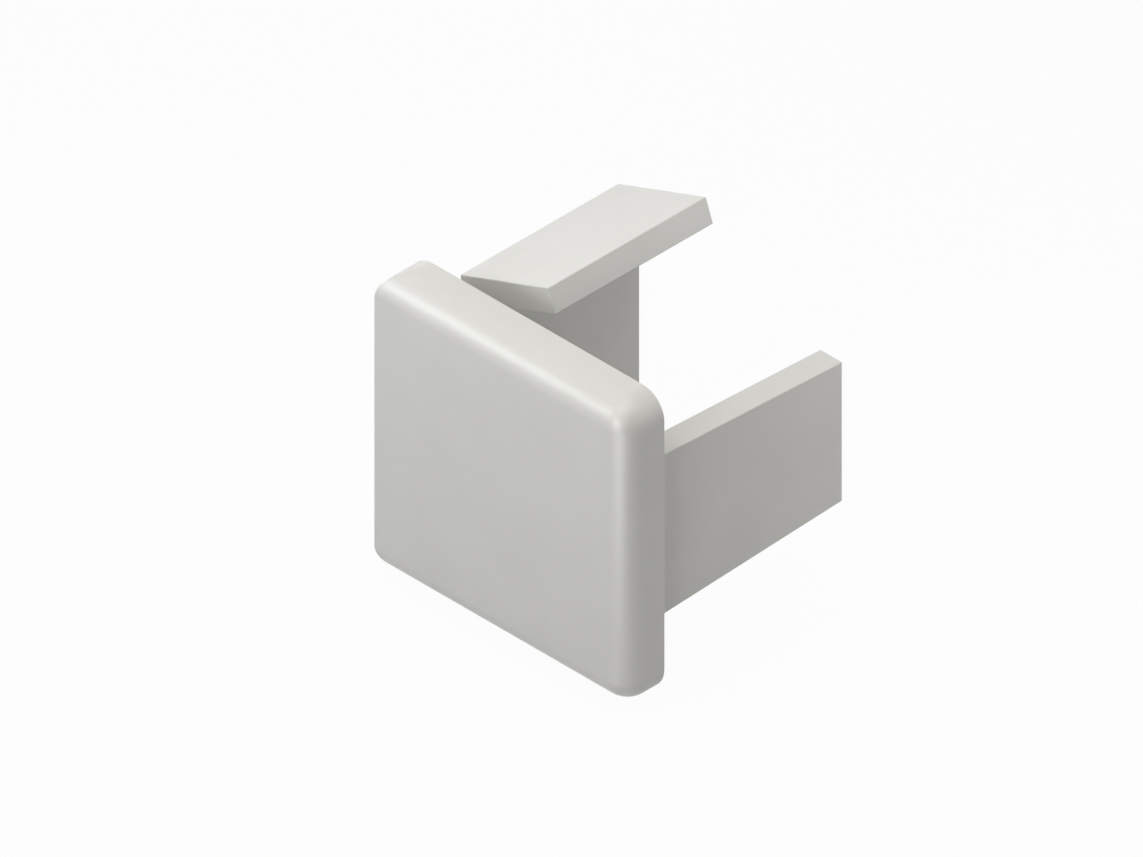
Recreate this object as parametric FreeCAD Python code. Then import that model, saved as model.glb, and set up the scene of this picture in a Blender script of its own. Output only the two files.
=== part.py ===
import FreeCAD, Part
import math
import os

# A moulded end cap for a small rectangular profile, such as mini cable trunking. It is one piece of
# plastic: a cover plate closes the end of the profile, and two flat legs and a pair of sprung lips
# behind it grip inside.
#
# Lengths are in millimetres. The origin is the centre of the plate's back face, where the profile's
# end bears. +Y points into the profile, +Z is up, and -X is the base side, which lies against the wall
# that carries the profile. The cap is the same above and below the level plane through the origin, so
# it fits either end of a profile.

# Cover plate
plate_width = 20.3
plate_height = 20.7
plate_thickness = 3.0
plate_corner_radius = 1.75
plate_edge_radius = 1.75

# Legs: their reach behind the plate, and how far their outer faces stand in from the plate's sides
leg_reach = 15.05
base_leg_inset = 1.52
base_leg_thickness = 1.7
cover_leg_inset = 0.83
cover_leg_thickness = 1.76
cover_leg_root_height = 11.15
cover_leg_end_height = 9.65

# Sprung lips: each leaves an edge of the base leg and slopes away from the middle of the cap. The edge
# drop is measured from the plate's top to the lip's edge, and the neck step from there to the neck that
# joins the plate.
lip_gap = 2.37
lip_width = 7.5
lip_thickness = 1.68
lip_slope_deg = 20.3
lip_edge_drop = 2.11
lip_neck_step = 1.95

# Small roundings that the mould leaves
lip_root_radius = 0.5
edge_radius = 0.07
sharp_joint_deg = 18

# Places worked out from the sizes above
plate_side_x = plate_width / 2
plate_top_z = plate_height / 2
base_leg_outer_x = -plate_side_x + base_leg_inset
base_leg_inner_x = base_leg_outer_x + base_leg_thickness
cover_leg_outer_x = plate_side_x - cover_leg_inset
cover_leg_inner_x = cover_leg_outer_x - cover_leg_thickness
lip_edge_z = plate_top_z - lip_edge_drop
lip_slope = math.radians(lip_slope_deg)
lip_depth = leg_reach - lip_gap


def point(x, y, z):
    return FreeCAD.Vector(x, y, z)


def prism(corners, sweep):
    """A solid made by carrying a closed outline along a straight sweep."""
    outline = Part.makePolygon(corners + [corners[0]])
    return Part.Face(outline).extrude(sweep)


def same(a, b):
    return abs(a - b) < 1e-6


def runs_along(edge, direction):
    """True for a straight edge that lies parallel to a direction."""
    if len(edge.Vertexes) != 2:
        return False
    span = edge.Vertexes[1].Point - edge.Vertexes[0].Point
    return abs(abs(span.normalize().dot(direction)) - 1) < 1e-6


def lies_at_y(edge, y):
    """True for an edge that lies wholly in one plane square to the profile."""
    return same(edge.BoundBox.YMin, y) and same(edge.BoundBox.YMax, y)


def stands_out(shape, edge):
    """True for a sharp edge where the two faces turn away from each other, as on a block's outside."""
    middle = edge.valueAt((edge.FirstParameter + edge.LastParameter) / 2)
    faces = shape.ancestorsOfType(edge, Part.Face)
    first, second = [face.normalAt(*face.Surface.parameter(middle)) for face in faces]
    if first.getAngle(second) < math.radians(sharp_joint_deg):
        return False
    past_the_edge = (second - first * first.dot(second)).normalize() * edge_radius
    return not shape.isInside(middle + past_the_edge - first * (edge_radius / 10), 1e-6, False)


def soften(shape):
    """Round a leg's outer edges by the mould's small radius, but for those of its root on the plate."""
    outer = [edge for edge in shape.Edges if stands_out(shape, edge) and not lies_at_y(edge, 0)]
    return shape.makeFillet(edge_radius, outer)


def plain_plate():
    """The plate before its front is rounded: a flat block whose four corners are rounded."""
    corner = point(-plate_side_x, -plate_thickness, -plate_top_z)
    block = Part.makeBox(plate_width, plate_thickness, plate_height, corner)
    corners = [edge for edge in block.Edges if runs_along(edge, point(0, 1, 0))]
    return block.makeFillet(plate_corner_radius, corners)


def rounded_front():
    """A block that reaches past the plate's base side, its front rolled over on the other three sides."""
    overrun = 2 * (plate_corner_radius + plate_edge_radius)
    corner = point(-plate_side_x - overrun, -plate_thickness, -plate_top_z)
    block = Part.makeBox(plate_width + overrun, plate_thickness, plate_height, corner)
    cover_corners = [
        edge for edge in block.Edges
        if runs_along(edge, point(0, 1, 0)) and edge.CenterOfMass.x > 0
    ]
    block = block.makeFillet(plate_corner_radius, cover_corners)
    rolled = [
        edge for edge in block.Edges
        if lies_at_y(edge, -plate_thickness) and edge.BoundBox.XMax > -plate_side_x
    ]
    return block.makeFillet(plate_edge_radius, rolled)


def cover_plate():
    """The plate. Its rounded front ends in a crisp edge on the base side, which lies against the wall."""
    plate = plain_plate().common(rounded_front()).removeSplitter()
    back_outline = [edge for edge in plate.Edges if lies_at_y(edge, 0)]
    return plate.makeFillet(edge_radius, back_outline)


def base_leg():
    """The flat leg on the base side. A lower neck joins it to the plate and leaves the lips free."""
    neck_z = lip_edge_z - lip_neck_step
    half_outline = [(0, neck_z), (lip_gap, neck_z), (lip_gap, lip_edge_z), (leg_reach, lip_edge_z)]
    upper = [point(base_leg_outer_x, y, z) for y, z in half_outline]
    lower = [point(base_leg_outer_x, y, -z) for y, z in reversed(half_outline)]
    return prism(upper + lower, point(base_leg_thickness, 0, 0))


def upper_lip():
    """The sprung lip along the top of the base leg. Its tip is square to its slope."""
    along = point(math.cos(lip_slope), 0, math.sin(lip_slope))
    inward = point(math.sin(lip_slope), 0, -math.cos(lip_slope))
    outer_edge = point(base_leg_outer_x, lip_gap, lip_edge_z)
    ridge = outer_edge + along * lip_width
    under_tip = ridge + inward * lip_thickness
    run_to_leg = (under_tip.x - base_leg_outer_x) / math.cos(lip_slope)
    under_root = under_tip - along * run_to_leg
    return prism([outer_edge, ridge, under_tip, under_root], point(0, lip_depth, 0))


def spring_grip():
    """The base leg with its pair of lips, rounded where each lip's underside runs into the leg."""
    upper = upper_lip()
    lower = upper.mirror(point(0, 0, 0), point(0, 0, 1))
    grip = base_leg().fuse([upper, lower]).removeSplitter()
    roots = [
        edge for edge in grip.Edges
        if runs_along(edge, point(0, 1, 0)) and same(edge.BoundBox.XMin, base_leg_inner_x)
        and edge.BoundBox.YMax > lip_gap
    ]
    return soften(grip.makeFillet(lip_root_radius, roots))


def cover_leg():
    """The flat leg on the cover side, which narrows from its root to its end."""
    root = cover_leg_root_height / 2
    end = cover_leg_end_height / 2
    half_outline = [(0, root), (leg_reach, end)]
    upper = [point(cover_leg_inner_x, y, z) for y, z in half_outline]
    lower = [point(cover_leg_inner_x, y, -z) for y, z in reversed(half_outline)]
    return soften(prism(upper + lower, point(cover_leg_thickness, 0, 0)))


def end_cap():
    """Plate, grip and cover leg as the one moulding that they are."""
    return cover_plate().fuse([spring_grip(), cover_leg()]).removeSplitter()


os.makedirs("parts", exist_ok=True)
cap = end_cap()
cap.exportStep("parts/end_cap.step")
print("end_cap: solids", len(cap.Solids), "valid", cap.isValid(), "volume", round(cap.Volume, 2))
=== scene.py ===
# %% [markdown]
# # A moulded end cap, dressed and lit
#
# The part is a small cap of light grey plastic. It closes the end of a square profile, and its two legs and
# a pair of sprung lips grip inside. The whole cap comes out of the mould in one shot, so it is one piece here
# too. Its shape is already exact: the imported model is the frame, in metres, and this script adds only what
# the shape lacks, which is clean shading, a real plastic finish, a floor, lamps and a camera.

# %% Load the frame
import math

import bpy
from mathutils import Matrix, Vector


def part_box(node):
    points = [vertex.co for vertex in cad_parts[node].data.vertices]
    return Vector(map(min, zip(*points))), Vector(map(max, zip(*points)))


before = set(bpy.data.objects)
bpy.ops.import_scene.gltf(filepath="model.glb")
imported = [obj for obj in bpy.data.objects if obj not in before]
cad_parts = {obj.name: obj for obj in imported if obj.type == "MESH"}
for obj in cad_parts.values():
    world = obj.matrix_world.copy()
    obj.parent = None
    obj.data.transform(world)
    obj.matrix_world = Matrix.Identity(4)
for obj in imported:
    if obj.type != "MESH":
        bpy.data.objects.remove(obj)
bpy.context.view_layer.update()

MM = 0.001
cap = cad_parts["end_cap"]
lowest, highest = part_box("end_cap")
print("size in mm:", [round(side / MM, 2) for side in highest - lowest])

# %% [markdown]
# ## Clean shading for the moulded surface
#
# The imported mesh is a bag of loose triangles. Light runs over it in patches, because each triangle keeps its
# own corners and none knows its neighbours. We may not touch the mesh itself, but a modifier may work on it.
# A small node tree joins corners that lie in one place, drops the old normals and marks every edge that
# turns by more than a set angle as sharp. Those are the inner corners where a leg meets the plate, and the
# plate's crisp front edge on the side that lies against the wall.
#
# A second modifier then weighs each normal by the area around it. A flat face is large and a rounding is
# made of thin strips, so the flat face wins where the two meet. That is just what a true rounding does: it
# starts out level with the flat.

# %% Join the triangles and shade them smooth
JOIN_WITHIN = 0.0005 * MM
SHARP_FROM = math.radians(32)
LARGE_FACE_WEIGHT = 100  # the most there is; at 50 a face counts by its area alone


def chain(tree, *nodes):
    """Links the geometry output of each node to the geometry input of the next."""
    for before, after in zip(nodes, nodes[1:]):
        tree.links.new(before.outputs["Geometry"], after.inputs["Geometry"])


def clean_shading_tree():
    """Merge by distance, then all faces smooth, then edges smooth only below the sharp angle."""
    tree = bpy.data.node_groups.new("clean_shading", "GeometryNodeTree")
    tree.interface.new_socket("Geometry", in_out="INPUT", socket_type="NodeSocketGeometry")
    tree.interface.new_socket("Geometry", in_out="OUTPUT", socket_type="NodeSocketGeometry")
    start = tree.nodes.new("NodeGroupInput")
    end = tree.nodes.new("NodeGroupOutput")

    join = tree.nodes.new("GeometryNodeMergeByDistance")
    join.inputs["Distance"].default_value = JOIN_WITHIN

    forget = tree.nodes.new("GeometryNodeRemoveAttribute")
    forget.inputs["Name"].default_value = "custom_normal"

    faces = tree.nodes.new("GeometryNodeSetShadeSmooth")
    faces.domain = "FACE"

    angle = tree.nodes.new("GeometryNodeInputMeshEdgeAngle")
    is_soft = tree.nodes.new("FunctionNodeCompare")
    is_soft.operation = "LESS_THAN"
    is_soft.inputs["B"].default_value = SHARP_FROM
    edges = tree.nodes.new("GeometryNodeSetShadeSmooth")
    edges.domain = "EDGE"
    tree.links.new(angle.outputs["Unsigned Angle"], is_soft.inputs["A"])
    tree.links.new(is_soft.outputs["Result"], edges.inputs["Shade Smooth"])

    chain(tree, start, join, forget, faces, edges, end)
    return tree


shading = cap.modifiers.new("clean_shading", "NODES")
shading.node_group = clean_shading_tree()
weights = cap.modifiers.new("flat_faces_stay_flat", "WEIGHTED_NORMAL")
weights.mode = "FACE_AREA"
weights.weight = LARGE_FACE_WEIGHT
weights.keep_sharp = True

smooth_mesh = cap.evaluated_get(bpy.context.evaluated_depsgraph_get()).data
print("triangles:", len(smooth_mesh.polygons))
print("points before and after joining:", len(cap.data.vertices), len(smooth_mesh.vertices))

# %% [markdown]
# ## The plastic
#
# The real cap is a light, slightly warm grey plastic with a fine matt surface. The mould gives it three
# things that a single flat colour lacks:
#
# - a very fine grain, where the mould's sparked steel leaves bumps about a tenth of a millimetre apart;
# - a slow unevenness over a few millimetres, left by the plastic as it cools, which makes highlights wander;
# - a faint cloudiness of the colour, because pigment never spreads quite evenly.
#
# All three are noise in object coordinates, so that they are tied to the piece and keep their real scale.

# %% The plastic's values
GREY_LIGHT = (0.640, 0.633, 0.607, 1)
GREY_DEEP = (0.618, 0.611, 0.583, 1)
CLOUD_SIZE = 4.0 * MM
GRAIN_SIZE = 0.11 * MM
GRAIN_DEPTH = 0.0016 * MM
WAVE_SIZE = 2.6 * MM
WAVE_DEPTH = 0.0035 * MM
ROUGHNESS_RANGE = (0.39, 0.47)
REFRACTION = 1.54
GLOSS_LEVEL = 0.5
pattern_sizes = {"clouds": CLOUD_SIZE, "grain": GRAIN_SIZE, "waves": WAVE_SIZE}
print("pattern sizes in mm:", {name: round(size / MM, 2) for name, size in pattern_sizes.items()})


# %% Build the plastic
NOISE_BAND = (0.3, 0.7)  # where most of a noise's values lie


def noise(tree, coordinates, size, detail):
    """Noise whose lumps are about the given size, in metres."""
    node = tree.nodes.new("ShaderNodeTexNoise")
    node.inputs["Scale"].default_value = 1 / size
    node.inputs["Detail"].default_value = detail
    tree.links.new(coordinates, node.inputs["Vector"])
    return node.outputs["Fac"]


def spread(tree, value, low, high):
    """Stretches the noise's usual middle band to the range that is wanted."""
    node = tree.nodes.new("ShaderNodeMapRange")
    node.inputs["From Min"].default_value = NOISE_BAND[0]
    node.inputs["From Max"].default_value = NOISE_BAND[1]
    node.inputs["To Min"].default_value = low
    node.inputs["To Max"].default_value = high
    tree.links.new(value, node.inputs["Value"])
    return node.outputs["Result"]


def bump(tree, height, depth, under=None):
    """Turns a height from 0 to 1 into a tilt of the surface, on top of another bump if one is given."""
    node = tree.nodes.new("ShaderNodeBump")
    node.inputs["Distance"].default_value = depth
    tree.links.new(height, node.inputs["Height"])
    if under is not None:
        tree.links.new(under, node.inputs["Normal"])
    return node.outputs["Normal"]


def matt_plastic():
    """A cloudy light grey whose roughness follows the grain, with the grain raised on the slow waves."""
    material = bpy.data.materials.new("matt_grey_plastic")
    material.use_nodes = True
    tree = material.node_tree
    shader = tree.nodes["Principled BSDF"]
    shader.inputs["IOR"].default_value = REFRACTION
    shader.inputs["Specular IOR Level"].default_value = GLOSS_LEVEL
    place = tree.nodes.new("ShaderNodeTexCoord").outputs["Object"]

    clouds = noise(tree, place, CLOUD_SIZE, detail=3)
    tint = tree.nodes.new("ShaderNodeMix")
    tint.data_type = "RGBA"
    tint.inputs["A"].default_value = GREY_DEEP
    tint.inputs["B"].default_value = GREY_LIGHT
    tree.links.new(spread(tree, clouds, 0, 1), tint.inputs["Factor"])
    tree.links.new(tint.outputs["Result"], shader.inputs["Base Color"])

    grain = noise(tree, place, GRAIN_SIZE, detail=2)
    tree.links.new(spread(tree, grain, *ROUGHNESS_RANGE), shader.inputs["Roughness"])

    waves = bump(tree, noise(tree, place, WAVE_SIZE, detail=1), WAVE_DEPTH)
    tree.links.new(bump(tree, grain, GRAIN_DEPTH, under=waves), shader.inputs["Normal"])
    return material


plastic = matt_plastic()
cap.material_slots[0].material = plastic
print("material slots:", [slot.material.name for slot in cap.material_slots])

# %% [markdown]
# ## The camera
#
# The photograph looks along the diagonal of a cube: 45 degrees round from the front and 35.26 degrees down,
# with no perspective, so lines that are parallel on the cap stay parallel in the picture. A lens would have
# to be very far away to do that. An orthographic camera does it exactly. Its scale says how many metres the
# picture's width covers, and one known corner of the cap, with its place in the photograph, settles the rest.

# %% Aim the camera
PHOTO_WIDTH = 1143
PHOTO_HEIGHT = 857
PIXELS_PER_MM = 17.636
CAMERA_DISTANCE = 250 * MM
NEAREST_SEEN = 1 * MM
FARTHEST_SEEN = 10.0

# the plate's upper back corner on the right, in the photograph and on the cap
CORNER_PIXEL = (664.95, 396.7)
plate_corner = Vector((10.15, 0, 10.35)) * MM

away = Vector((1, -1, 1)).normalized()
right = Vector((1, 1, 0)).normalized()
up = away.cross(right)


def isometric_camera():
    """Looks along the diagonal at the point that fills the middle of the photograph."""
    data = bpy.data.cameras.new("camera")
    data.type = "ORTHO"
    data.ortho_scale = PHOTO_WIDTH / PIXELS_PER_MM * MM
    data.clip_start = NEAREST_SEEN
    data.clip_end = FARTHEST_SEEN
    across = (PHOTO_WIDTH / 2 - CORNER_PIXEL[0]) / PIXELS_PER_MM * MM
    down = (PHOTO_HEIGHT / 2 - CORNER_PIXEL[1]) / PIXELS_PER_MM * MM
    target = plate_corner + right * across - up * down
    turn = Matrix((right, up, away)).transposed()
    camera = bpy.data.objects.new("camera", data)
    camera.matrix_world = Matrix.Translation(target + away * CAMERA_DISTANCE) @ turn.to_4x4()
    bpy.context.scene.collection.objects.link(camera)
    bpy.context.scene.camera = camera
    return camera


camera = isometric_camera()
print("camera at (mm):", [round(x / MM, 1) for x in camera.location])
print("picture's width (mm):", round(camera.data.ortho_scale / MM, 2))

# %% [markdown]
# ## The floor
#
# The picture's background is pure white. A floor lit to pure white would need more light than the cap can
# stand, so most of what the camera sees of the floor is a plain white glow, and the rest is pale grey card
# that takes the cap's shadow. What the plastic mirrors is seen in the same way, so its gloss shows the same
# white. All other rays see only the card, which throws back about as much light as it would in a studio.
#
# A renderer often aims rays at whatever glows, as it does at lamps. This glow shows itself only to rays that
# were not aimed, so part of it would be lost in the reflections. The aiming is therefore switched off for
# the floor, and in the same way for the room.

# %% Tell seen rays from the rest
SEEN_KINDS = ("Is Camera Ray", "Is Glossy Ray", "Is Transmission Ray")


def seen_rays(tree):
    """1 for what the camera sees, straight on, mirrored or through glass, and 0 for all other light."""
    ray = tree.nodes.new("ShaderNodeLightPath")
    seen = ray.outputs[SEEN_KINDS[0]]
    for kind in SEEN_KINDS[1:]:
        either = tree.nodes.new("ShaderNodeMath")
        either.operation = "MAXIMUM"
        tree.links.new(seen, either.inputs[0])
        tree.links.new(ray.outputs[kind], either.inputs[1])
        seen = either.outputs["Value"]
    return seen


print("seen rays:", SEEN_KINDS)

# %% Lay the floor
FLOOR_SIDE = 3.0
FLOOR_GREY = (0.62, 0.62, 0.615, 1)
GLOW_SHARE = 0.96
WHITE_GLOW = 1.0


def pale_floor_material():
    """White glow, in its share, over the card for seen rays, and the card alone for the others."""
    material = bpy.data.materials.new("pale_floor")
    material.use_nodes = True
    material.cycles.emission_sampling = "NONE"
    tree = material.node_tree
    tree.nodes.remove(tree.nodes["Principled BSDF"])
    card = tree.nodes.new("ShaderNodeBsdfDiffuse")
    card.inputs["Color"].default_value = FLOOR_GREY
    glow = tree.nodes.new("ShaderNodeEmission")
    glow.inputs["Strength"].default_value = WHITE_GLOW
    share = tree.nodes.new("ShaderNodeMath")
    share.operation = "MULTIPLY"
    share.inputs[1].default_value = GLOW_SHARE
    tree.links.new(seen_rays(tree), share.inputs[0])
    mix = tree.nodes.new("ShaderNodeMixShader")
    tree.links.new(share.outputs["Value"], mix.inputs["Fac"])
    tree.links.new(card.outputs["BSDF"], mix.inputs[1])
    tree.links.new(glow.outputs["Emission"], mix.inputs[2])
    tree.links.new(mix.outputs["Shader"], tree.nodes["Material Output"].inputs["Surface"])
    return material


def lay_floor(height):
    """One square face, with the middle under the cap."""
    half = FLOOR_SIDE / 2
    corners = [(-half, -half, height), (half, -half, height), (half, half, height), (-half, half, height)]
    mesh = bpy.data.meshes.new("floor")
    mesh.from_pydata(corners, [], [(0, 1, 2, 3)])
    mesh.materials.append(pale_floor_material())
    floor = bpy.data.objects.new("floor", mesh)
    bpy.context.scene.collection.objects.link(floor)
    return floor


floor = lay_floor(lowest.z)
print("floor at (mm):", round(floor.data.vertices[0].co.z / MM, 2))

# %% [markdown]
# ## The room
#
# The world is white where the camera or a reflection looks into it, so the cap's gloss has a white studio to
# mirror. To all other rays it is a faint even glow, and the lamps do the rest. Otherwise the shading would be
# as flat as on an overcast day.

# %% Light the room
ROOM_WHITE = (1, 1, 1, 1)
ROOM_LEVEL = 0.05


def room_light():
    """White for seen rays, and a faint glow for the others."""
    world = bpy.data.worlds.new("room")
    world.use_nodes = True
    tree = world.node_tree
    faint = tree.nodes["Background"]
    faint.inputs["Color"].default_value = ROOM_WHITE
    faint.inputs["Strength"].default_value = ROOM_LEVEL
    white = tree.nodes.new("ShaderNodeBackground")
    white.inputs["Color"].default_value = ROOM_WHITE
    white.inputs["Strength"].default_value = WHITE_GLOW
    mix = tree.nodes.new("ShaderNodeMixShader")
    tree.links.new(seen_rays(tree), mix.inputs["Fac"])
    tree.links.new(faint.outputs["Background"], mix.inputs[1])
    tree.links.new(white.outputs["Background"], mix.inputs[2])
    tree.links.new(mix.outputs["Shader"], tree.nodes["World Output"].inputs["Surface"])
    world.cycles.sampling_method = "NONE"
    bpy.context.scene.world = world


room_light()
print("room level:", ROOM_LEVEL)

# %% [markdown]
# ## The soft lamps
#
# The cap is brightest on top, darker on its front and darker again on its right side. A wide lamp overhead
# gives the top. The front grows darker downwards and to the right, so its two main lamps hang near it: one
# above, and the key lamp at the upper left. A lamp far off and low fills in. Two small lamps stand behind
# the right side, near the legs' ends, where that side is brightest. The last one stands behind the base side
# and lights the inner face of the leg there.
#
# The bright band where the top rolls over into the front tells where the key lamp hangs. A rounding mirrors
# a lamp at the place where its surface faces halfway between the lamp and the camera. Worked backwards, that
# place gives the lamp's direction: in front, to the left, and somewhat higher than the cap.
#
# Each lamp's level is what it adds to a white surface that faces it: at 1 that surface is just white. A
# lamp of power P at distance d adds P / (pi d) ** 2, so the power follows from the level.

# %% Hang the soft lamps
WHITE = (1, 1, 1)
WARM_WHITE = (1.0, 0.989, 0.956)
COOL_WHITE = (0.944, 0.963, 1.0)
KEY_DIRECTION = (-0.577, -0.684, 0.444)


def softbox(name, direction, distance, side, level, tint):
    """A square lamp that hangs in the given direction and faces the middle of the cap."""
    data = bpy.data.lights.new(name, "AREA")
    data.shape = "SQUARE"
    data.size = side
    data.energy = level * (math.pi * distance) ** 2
    data.color = tint
    lamp = bpy.data.objects.new(name, data)
    towards = Vector(direction).normalized()
    lamp.location = towards * distance
    lamp.rotation_euler = towards.to_track_quat("Z", "Y").to_euler()
    lamp.visible_camera = False
    bpy.context.scene.collection.objects.link(lamp)


softbox("overhead_lamp", (0, 0, 1), 200 * MM, 200 * MM, 0.64, WARM_WHITE)
softbox("key_lamp", KEY_DIRECTION, 60 * MM, 22 * MM, 0.19, COOL_WHITE)
softbox("high_front_lamp", (0.1, -0.54, 0.83), 70 * MM, 40 * MM, 0.265, WHITE)
softbox("low_front_lamp", (0.35, -0.9, 0.2), 200 * MM, 60 * MM, 0.195, WHITE)
softbox("low_back_right_lamp", (0.62, 0.75, 0.2), 45 * MM, 18 * MM, 0.113, WHITE)
softbox("high_back_right_lamp", (0.45, 0.7, 0.55), 60 * MM, 30 * MM, 0.094, WHITE)
softbox("back_left_lamp", (-0.8, 0.5, 0.35), 200 * MM, 100 * MM, 0.19, WHITE)
for lamp in [item for item in bpy.data.objects if item.type == "LIGHT"]:
    print(lamp.name, "power in watts:", round(lamp.data.energy, 4))

# %% [markdown]
# ## The strips
#
# The upright rounding at the right of the plate carries a thin bright line, which turns the corner and meets
# the band on top. The camera looks down on this rounding, so it mirrors the floor in front of the cap, and
# the corner above it mirrors what stands behind that. Three narrow strips of light lie on the floor there,
# each reaching farther out than the one before, and a fourth one stands. The far ones are brighter, because
# they look smaller from the cap. A fifth, square one hangs behind the key lamp and brightens the band on top.
#
# The strips show in reflections and light nothing else. They stand in for the strips of silver card that a
# studio sets up for such a line. A strip's brightness is 1 where it looks as bright as white paper.

# %% Place the strips
STRIP_LIFT = 0.5 * MM
FACING_UP = (0, 0, 1)
strip_height = lowest.z + STRIP_LIFT


def strip(name, place, facing, width, length, brightness):
    """A flat lamp that only reflections show. Its length stands upright, or points away along the floor."""
    data = bpy.data.lights.new(name, "AREA")
    data.shape = "RECTANGLE"
    data.size = width
    data.size_y = length
    data.energy = brightness * math.pi * width * length
    lamp = bpy.data.objects.new(name, data)
    lamp.location = place
    lamp.rotation_euler = Vector(facing).to_track_quat("-Z", "Y").to_euler()
    lamp.visible_camera = False
    lamp.visible_diffuse = False
    bpy.context.scene.collection.objects.link(lamp)


standing_place = Vector((0.12, -0.98, 0.2)).normalized() * 150 * MM
key_place = Vector(KEY_DIRECTION).normalized() * 90 * MM
strip("near_strip", (12 * MM, -34 * MM, strip_height), FACING_UP, 8 * MM, 60 * MM, 1.0)
strip("far_strip", (16 * MM, -45 * MM, strip_height), FACING_UP, 12 * MM, 50 * MM, 7.3)
strip("farthest_strip", (24 * MM, -110 * MM, strip_height), FACING_UP, 24 * MM, 80 * MM, 8)
strip("standing_strip", standing_place, -standing_place, 24 * MM, 80 * MM, 22)
strip("key_strip", key_place, -key_place, 30 * MM, 30 * MM, 7.3)

# %% [markdown]
# ## Colours as they are written
#
# The standard view shows each colour as it comes from the lamps. A film-like view would grey the white
# background and flatten the cap's shades.

# %% Choose the view
bpy.context.scene.view_settings.view_transform = "Standard"
print("view transform:", bpy.context.scene.view_settings.view_transform)
